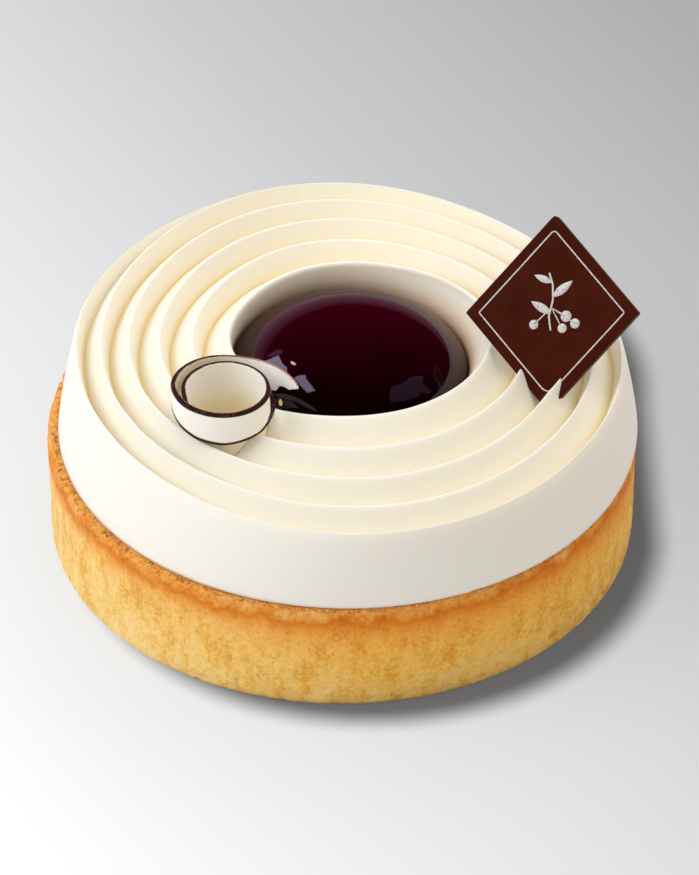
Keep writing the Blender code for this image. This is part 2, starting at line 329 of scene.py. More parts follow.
def buildCream():
    # rows of points round the tartlet: well, lip, one ring after another from crest to crest, and the wall
    columns = cream["columns"]
    share = np.arange(columns + 1) / columns
    angle = cream["startAngle"] - math.tau * share
    way = np.stack([np.cos(angle), np.sin(angle), np.zeros_like(angle)], axis=-1)
    turns = crestTurns(share)
    wellFloor = dome["footHeight"] - dome["wellGap"]
    wellRadius = dome["radius"] + dome["wellGap"]
    lip = ribbonPoint(turns[:, 0], angle, 0.0)
    rows, grooves, wells = [], [], []

    # each row carries its share of the groove's depth and of the well's, from which the material paints
    # shade
    def addRow(points, groove=0.0, well=0.0):
        rows.append(points)
        grooves.append(np.full(columns + 1, groove) if np.isscalar(groove) else groove)
        wells.append(np.full(columns + 1, well))

    # the well: floor, standing wall, then a curve through a slight funnel to the rounded lip
    middle = np.array([*cream["centre"], wellFloor])
    addRow(np.tile(middle, (columns + 1, 1)), 0.0, 1.0)
    addRow(circlePoint(dome["centre"], wellRadius, angle, wellFloor), 0.0, 1.0)
    wellTop = circlePoint(dome["centre"], wellRadius, angle, dome["girthHeight"])
    addRow(circlePoint(dome["centre"], wellRadius, angle, (wellFloor + dome["girthHeight"]) / 2), 0.0, 1.0)
    (startIn, startDown), (cornerIn, cornerDown) = cream["lipStart"], cream["lipCorner"]
    inside = lip - way * startIn - np.array([0.0, 0.0, startDown])
    for part in np.linspace(0.0, 1.0, 12):
        lean = way * cream["wellFunnel"] * math.sin(math.pi * part)
        addRow(wellTop + (inside - wellTop) * part - lean, 0.0, 1 - 0.9 * part)
    corner = lip - way * cornerIn - np.array([0.0, 0.0, cornerDown])
    for part in (0.2, 0.4, 0.6, 0.8):
        bend = inside * (1 - part) ** 2 + corner * 2 * part * (1 - part) + lip * part ** 2
        addRow(bend, 0.0, 0.1 * (1 - part))

    # the rings, each from one crest to the next
    ringStart = len(rows)
    outward = np.array([0, 0.012, 0.03, 0.055, 0.09, 0.15, 0.24, 0.34, 0.44, 0.54, 0.62, 0.67])
    inward = np.array([0.70, 0.72, 0.75, 0.80, 0.86, 0.91, 0.95, 0.975, 0.99])
    samples = np.concatenate([outward, inward])
    deepest = grooveDrop(cream["groovePlace"], 1.0)[1]
    for near, far in zip(turns.T, turns.T[1:]):
        for part in samples:
            drop, depth = grooveDrop(part, far - near)
            addRow(ribbonPoint(near + (far - near) * part, angle, drop),
                   depth / deepest * np.minimum(far - near, 1))
    wallStart = len(rows)

    # the outer wall: a straight line to the foot that bulges a little
    crest = ribbonPoint(turns[:, -1], angle, 0.0)
    foot = circlePoint(cream["baseCentre"], cream["baseRadius"], angle, cream["baseHeight"])
    for part in np.concatenate([[0, 0.006, 0.014, 0.025, 0.04, 0.06, 0.09], np.linspace(0.14, 1.0, 26)]):
        bulge = cream["wallBulge"] * (1 - math.exp(-part / cream["bulgeStart"])) * (1 - part ** 4)
        addRow(crest + (foot - crest) * part + way * bulge)
    addRow(np.tile([*cream["centre"], cream["baseHeight"]], (columns + 1, 1)))

    grid, groove, well = np.stack(rows, axis=1), np.stack(grooves, axis=1), np.stack(wells, axis=1)
    # a slight unevenness of the hand-piped surface, none at the foot, and upright drag marks on the wall
    steady, over = cream["steady"]
    free = ease((grid[..., 2] - steady) / over)
    grid[..., 2] += cream["wavering"] * layeredNoise(grid, cream["waves"]) * free
    drag = softNoise(grid * np.array([1.0, 1.0, cream["dragStretch"]]), cream["dragWidth"], 13) - 1
    wallRows = slice(wallStart + 3, -1)
    grid[:, wallRows] += (cream["dragDepth"] * drag * free)[:, wallRows, None] * way[:, None]
    # the crest beside the plaque leans and rises towards it, less with the square of the distance
    away = np.sum((grid - np.array(cream["peak"])) ** 2, axis=-1) / cream["peakReach"] ** 2
    grid += np.exp(-away / 2)[..., None] * np.array(cream["peakPull"])
    # every turn gains a ring, so the last column is the first one, one ring on
    step = len(samples)
    for array in (grid, groove, well):
        array[-1] = array[0]
        array[-1, ringStart:wallStart - step] = array[0, ringStart + step:wallStart]
        array[-1, wallStart - step:wallStart] = array[0, wallStart]
    # the curl's pocket: what lies inside its sleeve is pressed down to a flat floor
    away = np.hypot(grid[..., 0] - curl["centre"][0], grid[..., 1] - curl["centre"][1])
    pressed = away < curl["pocketRadius"]
    grid[..., 2] = np.where(pressed, np.minimum(grid[..., 2], curl["pocketFloor"]), grid[..., 2])
    near = np.sum(((grid - np.array(cream["smear"])) / np.array(cream["smearReach"])) ** 2, axis=-1)
    piece = surfacePiece("pipedCream", [grid], creamMaterial(), wrap=False,
                         attributes={"groove": groove, "well": well, "smear": np.exp(-near / 2)})
    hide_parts("coconut_cream")


def creamMaterial():
    # whipped coconut ganache smoothed by the nozzle: satin and white on the crests, with painted shade
    # yellow deep in the grooves, where the light only arrives through the cream, and painted shade warm
    # brown deep in the well
    material, tree, shader = newMaterial(
        "whipped coconut ganache", Roughness=0.50, IOR=1.45, Subsurface_Weight=0.30,
        Subsurface_Scale=0.0012, Subsurface_Radius=(1.0, 0.75, 0.40), Specular_IOR_Level=0.30)
    place = addNode(tree, "TexCoord", out="Object")
    groove, well, smear = (addNode(tree, "Attribute", attribute_name=name, out="Fac")
                           for name in ("groove", "well", "smear"))
    # painted shade: the rings' colour yellows towards the bottom of each groove
    ring = addNode(tree, "ValToRGB", {"Fac": groove}, stops=(
        (0.0, "#FCF7EE"), (0.02, "#FBF7EE"), (0.10, "#FAF5E8"), (0.60, "#FAF4E5"), (0.86, "#FCF1DA"),
        (1.0, "#FFE8A4")))
    # painted shade: the well's wall darkens to warm brown down towards the dome
    wall = addNode(tree, "ValToRGB", {"Fac": well}, stops=(
        (0.0, "#FFFFFF"), (0.12, "#FFFCF8"), (0.5, "#FBEFE1"), (1.0, "#E6C09C")))
    shadedTone = addMix(tree, 1.0, ring, wall, "MULTIPLY")
    # streaks of the smear: noise of 0.5 mm cuts its soft patch into strokes
    streak = addNoise(tree, place, 2000.0, 1.0)
    stroke = addMath(tree, "MULTIPLY", smear, streak)
    patch = addRange(tree, stroke, 0.12, 0.55, 0.0, 0.6)
    shadedTone = addMix(tree, patch, shadedTone, "#7A6A5E")
    # air bubbles and grain of whipped cream, 0.4 mm across and barely raised
    grain = addNoise(tree, place, 2500.0)
    bump = addNode(tree, "Bump", {"Height": grain, "Strength": 0.12, "Distance": 0.00004})
    plug(shader, Base_Color=shadedTone, Normal=bump)
    return material


def buildDome():
    # a profile turned round: powers of cosine and sine up from the girth, a small ellipse down to the foot
    size = dome
    up = np.radians(np.linspace(90, 0, 80))
    out, high = np.cos(up) ** (2 / size["fullness"]), np.sin(up) ** (2 / size["shoulder"])
    top = np.stack([size["radius"] * out, size["girthHeight"] + size["rise"] * high], axis=-1)
    down = np.radians(np.linspace(0, 90, 24))[1:]
    depth, foot = size["girthHeight"] - size["footHeight"], size["radius"] - size["footInset"]
    low = np.stack([foot + size["footInset"] * np.cos(down),
                    size["girthHeight"] - depth * np.sin(down)], axis=-1)
    profile = np.concatenate([top, low, [[0.0, size["footHeight"]]]])
    profile[0, 0] = 0.0
    angle = np.linspace(0, math.tau, 300, endpoint=False)
    grid = roundPoints(size["centre"], profile[:, :1], angle, profile[:, 1:])
    steady, over = size["steady"]
    wave = layeredNoise(grid, size["waves"])
    grid[..., 2] += size["wavering"] * wave * ease((grid[..., 2] - steady) / over)
    piece = surfacePiece("glazedDome", [grid], glazeMaterial())
    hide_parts("blackcurrant_dome")


def glazeMaterial():
    # blackcurrant mirror glaze poured over frozen jelly: a wet, almost black purple gloss
    material, tree, shader = newMaterial("blackcurrant mirror glaze", Roughness=0.035, IOR=1.45)
    place = addNode(tree, "TexCoord", out="Object")
    # painted light: the base colour runs from near black at the front to a brighter dark red at the back,
    # where more light reaches into it; clouds of 8 mm vary it
    cloud = addNoise(tree, place, 120.0)
    depth = addNode(tree, "SeparateXYZ", {"Vector": place}, out="Y")
    depth = addRange(tree, depth, -0.014, 0.010)
    depth = addMath(tree, "MULTIPLY_ADD", cloud, 0.3, depth)
    tone = addNode(tree, "ValToRGB", {"Fac": depth}, stops=(
        (0.1, "#0A0001"), (0.5, "#1D0006"), (1.0, "#2E010C")))
    plug(shader, Base_Color=tone)
    return material


shell = {
    "radius": 0.0499,
    "height": 0.0200,
    "footRound": 0.0009,
    "rimRound": 0.0009,
    "ledgeInner": 0.0466,
    "columns": 1150,
    "wallRows": 56,
    # size of the crumb in metres and how deep it is pushed in, three sizes
    "crumb": ((0.0060, 0.00012), (0.0019, 0.00010), (0.0008, 0.00011)),
    "pitCell": 0.0012,
    "pitDepth": 0.00016,
    "pitFrom": 0.35,                    # value of the noise where a pit starts; twice that is its deepest
    "rimErosion": 0.00034,
    "rimChips": ((0.0024, 0.6, 26), (0.0009, 0.5, 27)),
    "rimReach": 2.2,                    # how far below the rim it is worn, in roundings of the rim
    "ledgeGrain": 0.00022,
    "ledgeGrains": ((0.0009, 0.5, 28), (0.0020, 0.3, 29)),
}

crumbs = {
    "onRim": 620,
    "rimSize": (0.00016, 0.00042),      # least and greatest radius
    "rarity": 2.2,                      # power of the draw: a higher one makes large grains rarer
    "fromCream": 0.0001,                # least distance to the cream's foot
    "fromEdge": 0.00045,                # and to the shell's outer wall
    "sunk": 0.00010,
    "squash": 0.6,
    # place, radius and height to width of the loose one beside the curl's tail
    "loose": (
        ((-0.0100, -0.0178, 0.0379), 0.00038, 2.0),
    ),
}


def buildShell():
    # a straight wall with rounded foot and rim, pushed in by three sizes of crumb, and by pits
    size = shell
    corner = np.radians(np.linspace(-90, 0, 7))
    foot = np.stack([size["radius"] - size["footRound"] * (1 - np.cos(corner)),
                     size["footRound"] * (1 + np.sin(corner))], axis=-1)
    rise = np.linspace(size["footRound"], size["height"] - size["rimRound"], size["wallRows"] + 2)[1:-1]
    wall = np.stack([np.full(size["wallRows"], size["radius"]), rise], axis=-1)
    corner = np.radians(np.linspace(0, 90, 6))
    rim = np.stack([size["radius"] - size["rimRound"] * (1 - np.cos(corner)),
                    size["height"] - size["rimRound"] * (1 - np.sin(corner))], axis=-1)
    inward = np.linspace(size["radius"] - size["rimRound"], size["ledgeInner"], 10)[1:]
    ledge = np.stack([inward, np.full(len(inward), size["height"])], axis=-1)
    profile = np.concatenate([[[0.0, 0.0]], foot, wall, rim, ledge, [[0.0, size["height"]]]])
    angle = np.linspace(0, math.tau, size["columns"], endpoint=False)
    way = np.stack([np.cos(angle), np.sin(angle)], axis=-1)
    grid = np.zeros((len(profile), len(angle), 3))
    grid[..., :2] = profile[:, None, :1] * way
    grid[..., 2] = profile[:, None, 1]
    push = np.zeros(grid.shape[:2])
    for index, (cell, depth) in enumerate(size["crumb"]):
        push += depth * (0.5 + 0.5 * softNoise(grid, cell, 21 + index))
    pits = softNoise(grid, size["pitCell"], 25) - size["pitFrom"]
    push += size["pitDepth"] * ease(pits / size["pitFrom"])
    # the rim has crumbled: its corner is worn back unevenly and its top is grainy
    below = profile[:, None, 1] - size["height"] + size["rimReach"] * size["rimRound"]
    worn = ease(below / (2 * size["rimRound"]))
    chip = np.clip(layeredNoise(grid, size["rimChips"], 0.5), 0, 1.3)
    # neither the underside nor what the cream hides moves, and the ledge moves only down
    outer = (profile[:, None, 0] > size["ledgeInner"] - 0.0001) & (profile[:, None, 1] > 0.0001)
    side = profile[:, None, 0] > size["radius"] - 1.01 * size["rimRound"]
    grid[..., :2] -= way * ((push + size["rimErosion"] * chip * worn * side) * outer)[..., None]
    grain = np.clip(layeredNoise(grid, size["ledgeGrains"], 0.5), 0, 1)
    grid[..., 2] -= size["ledgeGrain"] * grain * worn * outer
    piece = surfacePiece("pastryShell", [grid], pastryMaterial())
    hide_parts("tart_shell")


def pastryMaterial():
    # butter shortcrust baked in a steel ring: dry and short, mottled gold with small pits, browned in an
    # uneven band below the rim, and pale and granular where the rim was trimmed
    material, tree, shader = newMaterial("baked shortcrust", Roughness=0.62, IOR=1.45,
                                         Specular_IOR_Level=0.18)
    place = addNode(tree, "TexCoord", out="Object")
    height = addNode(tree, "SeparateXYZ", {"Vector": place}, out="Z")
    stretched = addNode(tree, "Mapping", {"Vector": place, "Scale": (1.0, 1.0, 0.5)})
    # blotches of 3.5 mm that run up and down a little, and crumbs of 0.7 mm
    blotch = addNoise(tree, stretched, 290.0, 3.0)
    grain = addNoise(tree, place, 1400.0)
    broad = addMath(tree, "MULTIPLY_ADD", blotch, 0.0060, -0.0030)
    fine = addMath(tree, "MULTIPLY_ADD", grain, 0.0016, -0.0008)
    level = addMath(tree, "ADD", height, broad)
    # the trimmed rim keeps an even edge, so the wandering fades above 18.6 mm
    steady = addRange(tree, height, 0.0186, 0.0198)
    level = addNode(tree, "Mix", {0: steady, 2: level, 3: height})
    level = addMath(tree, "ADD", level, fine)
    share = addRange(tree, level, 0.0, 0.020)
    bake = addNode(tree, "ValToRGB", {"Fac": share}, stops=(
        (0.0, "#F8C978"), (0.15, "#FFD37A"), (0.45, "#FFCB64"), (0.62, "#FFBE4E"), (0.74, "#FCB34A"),
        (0.82, "#F5A038"), (0.90, "#E3841A"), (0.96, "#EE9F44"), (0.995, "#F4B466")))
    # painted light: it is paler on the left, the side the main light comes from
    left = addNode(tree, "SeparateXYZ", {"Vector": place}, out="X")
    left = addRange(tree, left, 0.004, -0.045, 0.0, 0.60)
    # neither that nor the pale flecks reach into the brown band
    unbrowned = addRange(tree, share, 0.70, 0.88, 1.0, 0.05)
    left = addMath(tree, "MULTIPLY", left, unbrowned)
    bake = addMix(tree, left, bake, "#FFE3A4")
    # mottling: what browned more is darker and deeper in colour, in patches and in single grains
    patch = addNoise(tree, stretched, 430.0, 3.0, 0.6)
    mottle = addNode(tree, "Mix", {0: 0.55, 2: patch, 3: grain})
    mottle = addNode(tree, "Mix", {0: 0.40, 2: mottle, 3: blotch})
    tone = addNode(tree, "ValToRGB", {"Fac": mottle}, stops=(
        (0.40, "#EBCF86"), (0.49, "#FAF0CE"), (0.57, "#FFFFFF")))
    bake = addMix(tree, 1.0, bake, tone, "MULTIPLY")
    # about one crumb in four is a pit with painted shade darkening its middle, none of them on the rim
    pits = addNode(tree, "TexVoronoi", {"Vector": place, "Scale": 820.0}, out="Distance")
    chosen = addNode(tree, "SeparateXYZ", {"Vector": pits.node.outputs["Color"]}, out="X")
    chosen = addMath(tree, "GREATER_THAN", chosen, 0.72)
    hole = addRange(tree, pits, 0.10, 0.30, 0.34, 0.0)
    wall = addRange(tree, height, 0.0180, 0.0190, 1.0, 0.0)
    hole = addMath(tree, "MULTIPLY", hole, chosen)
    hole = addMath(tree, "MULTIPLY", hole, wall)
    bake = addMix(tree, hole, bake, "#A8681F")
    # pale flecks in a fine noise over the ring's wall
    fleck = addNoise(tree, place, 1900.0, 3.0, 0.7)
    fleck = addRange(tree, fleck, 0.52, 0.66, 0.0, 0.38)
    fleck = addMath(tree, "MULTIPLY", fleck, unbrowned)
    bake = addMix(tree, fleck, bake, "#FFE09C")
    rough = addRange(tree, grain, 0.0, 1.0, 0.50, 0.75)
    finest = addNoise(tree, place, 2600.0, 3.0)
    relief = addMath(tree, "SUBTRACT", finest, hole)
    bump = addNode(tree, "Bump", {"Height": relief, "Strength": 0.60, "Distance": 0.00018})
    plug(shader, Base_Color=bake, Roughness=rough, Normal=bump)
    return material


def lumpGrid(place, radius, squash, seed):
    # a ball of a few points whose radius wanders by a fifth, squashed upwards and turned at random
    draw = np.random.default_rng(seed)
    rows, columns = 5, 7
    rise = np.linspace(-math.pi / 2, math.pi / 2, rows)
    turn = np.linspace(0, math.tau, columns, endpoint=False)
    reach = radius * draw.uniform(0.78, 1.1, (rows, columns))
    reach[0], reach[-1] = radius, radius
    ball = np.stack([
        reach * np.cos(rise)[:, None] * np.cos(turn + draw.uniform(0, math.tau)) * draw.uniform(0.8, 1.25),
        reach * np.cos(rise)[:, None] * np.sin(turn),
        reach * np.sin(rise)[:, None] * squash,
    ], axis=-1)
    return ball + np.array(place)


def buildCrumbs():
    # grains on the ledge between the cream's foot and the rim, and the loose one
    size = crumbs
    draw = np.random.default_rng(41)
    angle = draw.uniform(0, math.tau, size["onRim"])
    least, greatest = size["rimSize"]
    radius = least + (greatest - least) * draw.uniform(0, 1, size["onRim"]) ** size["rarity"]
    across, along = cream["baseCentre"][0] * np.cos(angle), cream["baseCentre"][0] * np.sin(angle)
    inner = across + np.sqrt(cream["baseRadius"] ** 2 - along ** 2) + size["fromCream"]
    outer = shell["radius"] - size["fromEdge"] - radius
    reach = inner + (np.maximum(outer, inner) - inner) * draw.uniform(0, 1, size["onRim"])
    reach = np.minimum(reach, shell["radius"] - 1.3 * radius)
    level = shell["height"] - size["sunk"]
    # the last number of each grain is its own seed
    grids = [lumpGrid((r * math.cos(a), r * math.sin(a), level), s, size["squash"], 1000 + k)
             for k, (a, r, s) in enumerate(zip(angle, reach, radius))]
    grids += [lumpGrid(place, s, squash, 3000 + k) for k, (place, s, squash) in enumerate(size["loose"])]
    tone = draw.uniform(0, 0.8, len(grids))
    tone[size["onRim"]:] = 1.0
    tone = np.repeat(tone, grids[0][..., 0].size)
    surfacePiece("pastryCrumbs", grids, crumbMaterial(), attributes={"tone": tone})


def crumbMaterial():
    # grains of the same shortcrust, some pale inside and some browned
    material, tree, shader = newMaterial("shortcrust crumbs", Roughness=0.65, IOR=1.45,
                                         Specular_IOR_Level=0.35)
    tone = addNode(tree, "Attribute", attribute_name="tone", out="Fac")
    colour = addNode(tree, "ValToRGB", {"Fac": tone}, stops=(
        (0.0, "#C77C2E"), (0.4, "#DE9C4C"), (0.8, "#EFBF7C"), (1.0, "#EAD3A4")))
    place = addNode(tree, "TexCoord", out="Object")
    grain = addNoise(tree, place, 4000.0)
    bump = addNode(tree, "Bump", {"Height": grain, "Strength": 0.5, "Distance": 0.0001})
    plug(shader, Base_Color=colour, Normal=bump)
    return material


def closeEnds(strip):
    # a strip of sections gains a first and a last one drawn together to their middle
    ends = [np.repeat(strip[place].mean(axis=0)[None, None], strip.shape[1], axis=1) for place in (0, -1)]
    return np.concatenate([ends[0], strip, ends[1]])


def curlSection(half, corner):
    # a flat upright section as a loop: out from the middle, share of the height, and what a corner adds
    bend, rise = np.radians(np.linspace(0, 90, 4)), np.linspace(0, 1, 14)
    across, share, extra, face = [], [], [], []
    for side, start, stop in ((1, rise, 1.0), (-1, rise[::-1], 0.0)):
        across.append(np.ones_like(start) * side)
        share.append(start)
        extra.append(np.zeros_like(start))
        face.append(np.zeros_like(start))
        for first in (0, 90):
            turn = bend + math.radians(first + (0 if side > 0 else 180))
            sign = side if first == 0 else -side
            across.append(np.full(len(bend), float(sign)))
            face.append(np.cos(turn) - sign)
            share.append(np.full(len(bend), stop))
            extra.append(np.sin(turn))
    across, share, extra, face = (np.concatenate(part) for part in (across, share, extra, face))
    side = np.clip(across + face * 0.5, -1, 1)
    return across * half[:, None] + corner * face, share, extra * corner, side


def buildCurl():
    # a rounded upright section carried along a loosening spiral, eased between its stations
    size = curl
    stations = np.array(size["stations"])
    sweep = np.linspace(stations[0, 0], stations[-1, 0], size["steps"])
    beyond, samples, width = size["easing"]
    fine = np.linspace(stations[0, 0] - beyond, stations[-1, 0] + beyond, samples)
    window = np.hanning(width) / np.hanning(width).sum()
    radius, flare, footZ, topZ, thick = (
        np.interp(sweep, fine, np.convolve(np.interp(fine, stations[:, 0], values), window, "same"))
        for values in stations.T[1:])
    footZ += np.interp(sweep, *np.array(size["broken"]).T)
    across, share, extra, side = curlSection(thick / 2, size["corner"])
    tall, corner = (topZ - footZ)[:, None], size["corner"]
    up = corner + share * (tall - 2 * corner) + extra
    reach = radius[:, None] + flare[:, None] * (1 - up / tall) + across
    angle = np.radians(size["innerEnd"] - sweep)[:, None]
    grid = roundPoints(size["centre"], reach, angle, footZ[:, None] + up)
    # the cream pressed up between the two turns closes the gap: a thin floor from the inner to the outer
    outerTurn = sweep[(sweep > size["gap"][0]) & (sweep < size["gap"][1])]
    far = np.interp(outerTurn, sweep, radius - thick * size["gapTuck"])
    near = np.interp(outerTurn - 360, sweep, radius + thick * size["gapTuck"])
    floorAngle = np.radians(size["innerEnd"] - outerTurn)[:, None]
    flat = np.stack([far, far, near, near], axis=1)
    level = size["gap"][2] + np.array([0.0, 1.0, 1.0, 0.0]) * size["gapThickness"]
    floor = roundPoints(size["centre"], flat, floorAngle, level)
    footLineAndShade = np.interp(sweep, *np.array(size["footLineAndShade"]).T)
    values = {"fromFoot": up / millimetre, "fromTop": (tall - up) / millimetre,
              "side": np.tile(side, (len(sweep), 1)), "along": np.repeat(sweep[:, None], len(side), axis=1),
              "footLineAndShade": np.repeat(footLineAndShade[:, None], len(side), axis=1)}
    values = {key: np.concatenate([each[:1], each, each[-1:]]).ravel() for key, each in values.items()}
    grids = [closeEnds(grid), closeEnds(floor)]
    # the thin floor has no dark line: it is far from both edges
    plain = {"fromFoot": 9.0, "fromTop": 9.0, "side": 0.0, "along": 0.0, "footLineAndShade": 0.0}
    values = {key: np.concatenate([each, np.full(grids[1][..., 0].size, plain[key])])
              for key, each in values.items()}
    piece = surfacePiece("rolledCurl", grids, curlMaterial(), attributes=values)
    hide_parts("chocolate_curl")


def curlMaterial():
    # tempered white chocolate with a dark chocolate line along each edge: satin, slightly see-through,
    # and the cut edges a little chipped
    material, tree, shader = newMaterial(
        "white chocolate", Roughness=0.36, IOR=1.46, Subsurface_Weight=0.20,
        Subsurface_Scale=0.0008, Subsurface_Radius=(1.0, 0.8, 0.55), Specular_IOR_Level=0.4)
    place = addNode(tree, "TexCoord", out="Object")
    height = addNode(tree, "SeparateXYZ", {"Vector": place}, out="Z")
    fromFoot, fromTop, side, along, footLineAndShade = (
        addNode(tree, "Attribute", attribute_name=name, out="Fac")
        for name in ("fromFoot", "fromTop", "side", "along", "footLineAndShade"))
    # the line covers the edge and a strip of the outer face, and along the foot, where it widens, painted
    # shade; its border wanders by 0.1 mm
    chip = addNoise(tree, place, 1600.0, 3.0)
    ragged = addMath(tree, "MULTIPLY_ADD", chip, 0.12, -0.06)
    tail = addRange(tree, along, 470.0, 530.0)
    lines = []
    for distance, inner, outer in ((fromTop, 0.03, 0.40), (fromFoot, 0.03, footLineAndShade)):
        width = addRange(tree, side, -0.4, 0.4, inner, outer)
        width = addNode(tree, "Mix", {0: tail, 2: width, 3: 0.10})
        width = addMath(tree, "ADD", width, ragged)
        beyond = addMath(tree, "SUBTRACT", distance, width)
        lines.append(addRange(tree, beyond, -0.04, 0.04, 1.0, 0.0))
    # the tail has no line along its foot
    low = addMath(tree, "SUBTRACT", 1.0, tail)
    low = addMath(tree, "MULTIPLY", low, lines[1])
    line = addMath(tree, "MAXIMUM", lines[0], low)
    # painted light and shade: the white chocolate is painted yellower towards the foot of the sleeve, where
    # the cream's warm bounced light reaches it
    sleeve = addRange(tree, along, 200.0, 225.0, 1.0, 0.0)
    deep = addRange(tree, height, 0.0325, 0.0392, 1.0, 0.0)
    deep = addMath(tree, "MULTIPLY", deep, sleeve)
    body = addNode(tree, "ValToRGB", {"Fac": deep}, stops=(
        (0.0, "#FCF9F3"), (0.5, "#FBF5E6"), (1.0, "#F9E8C2")))
    # painted shade and light: the inner face of the outer turn is painted yellower where the two turns lie
    # close, as shade between them, and the tail is painted whiter, as light on it
    inner = addRange(tree, side, -0.5, 0.5, 1.0, 0.0)
    close = addRange(tree, along, 320.0, 350.0)
    inner = addMath(tree, "MULTIPLY", inner, close)
    for share, tint in ((inner, "#F6ECD2"), (tail, "#FCFCFE")):
        body = addMix(tree, share, body, tint)
    edge = addNode(tree, "ValToRGB", {"Fac": chip}, stops=(
        (0.35, "#230902"), (0.55, "#341004"), (0.68, "#6A2F18")))
    edge = addMix(tree, tail, edge, "#B28068")
    colour = addMix(tree, line, body, edge)
    bump = addNode(tree, "Bump", {"Height": chip, "Strength": 0.15, "Distance": 0.00005})
    plug(shader, Base_Color=colour, Normal=bump)
    return material


plaque = {
    "centre": (0.0346, -0.0025, 0.0447),
    "diagonals": (0.0303, 0.0328),
    "thickness": 0.0014,
    "edgeRound": 0.00016,
    "cornerCuts": (0.0003, 0.0009, 0.0003, 0.0024),   # right, top, left and bottom corner
    "lean": math.radians(44),
    "yaw": math.radians(22),
    "roll": math.radians(-2.6),
    "wavering": 0.00004,
    "waveCell": 0.007,
}

sprig = {
    "relief": 0.00005,
    "frameInset": 0.84,                 # the thin frame's size, as a share of the plaque
    "frameWidth": 0.00022,
    "middle": (0.0, 0.0020),            # of the motif, right and up from the plaque's middle
    "stemWidth": 0.00030,
    "stalkWidth": 0.00018,              # of each berry's stalk
    "stalkFoot": (0.0, -0.0012),        # where the stalks leave the stem
    "stem": ((0.0, -0.0050), (-0.0004, -0.0026), (0.0002, 0.0), (0.0001, 0.0026), (-0.0006, 0.0046)),
    # foot of each leaf, its direction in degrees, length and width
    "leaves": (
        ((0.0000, -0.0022), 150, 0.0042, 0.0017),
        ((0.0001, 0.0006), 38, 0.0044, 0.0018),
        ((-0.0001, 0.0030), 158, 0.0034, 0.0014),
    ),
    # middle and radius of each berry
    "berries": (
        ((0.0026, -0.0026), 0.00095),
        ((0.0042, -0.0038), 0.00085),
        ((0.0020, -0.0046), 0.00080),
        ((-0.0030, -0.0040), 0.00080),
    ),
}


def plaqueMatrix():
    # right along one diagonal, up along the other, out of the printed face
    right = Vector((1.0, 0.0, 0.0))
    up = Vector((0.0, math.sin(plaque["lean"]), math.cos(plaque["lean"])))
    out = right.cross(up)
    side = right * math.cos(plaque["yaw"]) + out * math.sin(plaque["yaw"])
    face = side.cross(up)
    turned = Matrix((side, up, face)).transposed().to_4x4() @ Matrix.Rotation(plaque["roll"], 4, "Z")
    return np.array(Matrix.Translation(Vector(plaque["centre"])) @ turned)


def onPlaque(flat):
    # points given as right, up and out of the printed face, in metres, put in their place; the sheet
    # waves a little, as a soft noise of right and up
    wave = softNoise(flat * np.array([1.0, 1.0, 0.0]) + 0.5, plaque["waveCell"], 51) - 1
    matrix = plaqueMatrix()
    lifted = flat + wave[..., None] * np.array([0.0, 0.0, plaque["wavering"]])
    return lifted @ matrix[:3, :3].T + matrix[:3, 3]


def plaqueOutline():
    # four straight sides with a curve of second order round each corner
    across, high = plaque["diagonals"][0] / 2, plaque["diagonals"][1] / 2
    tips = np.array([(across, 0), (0, high), (-across, 0), (0, -high)])
    sides = np.roll(tips, -1, axis=0) - tips
    sides /= np.linalg.norm(sides, axis=1, keepdims=True)
    parts = []
    for index, cut in enumerate(plaque["cornerCuts"]):
        tip, ahead = tips[index], (index + 1) % 4
        start, stop = tip - sides[index - 1] * cut, tip + sides[index] * cut
        bend, run = np.linspace(0, 1, 9)[:, None], np.linspace(0, 1, 30)[1:-1, None]
        parts.append(start * (1 - bend) ** 2 + tip * 2 * bend * (1 - bend) + stop * bend ** 2)
        following = tips[ahead] - sides[index] * plaque["cornerCuts"][ahead]
        parts.append(stop + (following - stop) * run)
    return np.concatenate(parts)


def buildPlaque():
    # the outline stepped in towards the middle over a rounded edge, front and back
    outline = plaqueOutline()
    tangent = np.roll(outline, -1, axis=0) - np.roll(outline, 1, axis=0)
    normal = np.stack([tangent[:, 1], -tangent[:, 0]], axis=-1)
    normal /= np.linalg.norm(normal, axis=1, keepdims=True)
    edge, thickness = plaque["edgeRound"], plaque["thickness"]
    turn = np.radians(np.linspace(0, 90, 6))
    rows = [(scale, edge, 0.0) for scale in np.linspace(0, 1, 26)[:-1]]
    rows += [(1.0, edge * (1 - math.cos(bend)), -edge * (1 - math.sin(bend))) for bend in turn[::-1]]
    rows += [(1.0, edge * (1 - math.cos(bend)), -thickness + edge * (1 - math.sin(bend))) for bend in turn]
    rows += [(scale, edge, -thickness) for scale in np.linspace(1, 0, 26)[1:]]
    flat = np.stack([
        np.concatenate([(outline - normal * inset) * scale, np.full((len(outline), 1), out)], axis=1)
        for scale, inset, out in rows])
    piece = surfacePiece("darkPlaque", [onPlaque(flat)], plaqueMaterial())
    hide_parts("chocolate_plaque")


def plaqueMaterial():
    # tempered dark chocolate spread on a sheet and cut: an even satin brown, with the soft clouds of a
    # rubbed surface
    material, tree, shader = newMaterial("tempered dark chocolate", Roughness=0.40, IOR=1.46,
                                         Specular_IOR_Level=0.12)
    place = addNode(tree, "TexCoord", out="Object")
    cloud = addNoise(tree, place, 260.0, 4.0)
    tone = addNode(tree, "ValToRGB", {"Fac": cloud}, stops=((0.30, "#3F1000"), (0.70, "#4A1601")))
    rough = addRange(tree, cloud, 0.0, 1.0, 0.34, 0.48)
    grain = addNoise(tree, place, 1800.0)
    bump = addNode(tree, "Bump", {"Height": grain, "Strength": 0.12, "Distance": 0.00005})
    plug(shader, Base_Color=tone, Roughness=rough, Normal=bump)
    return material


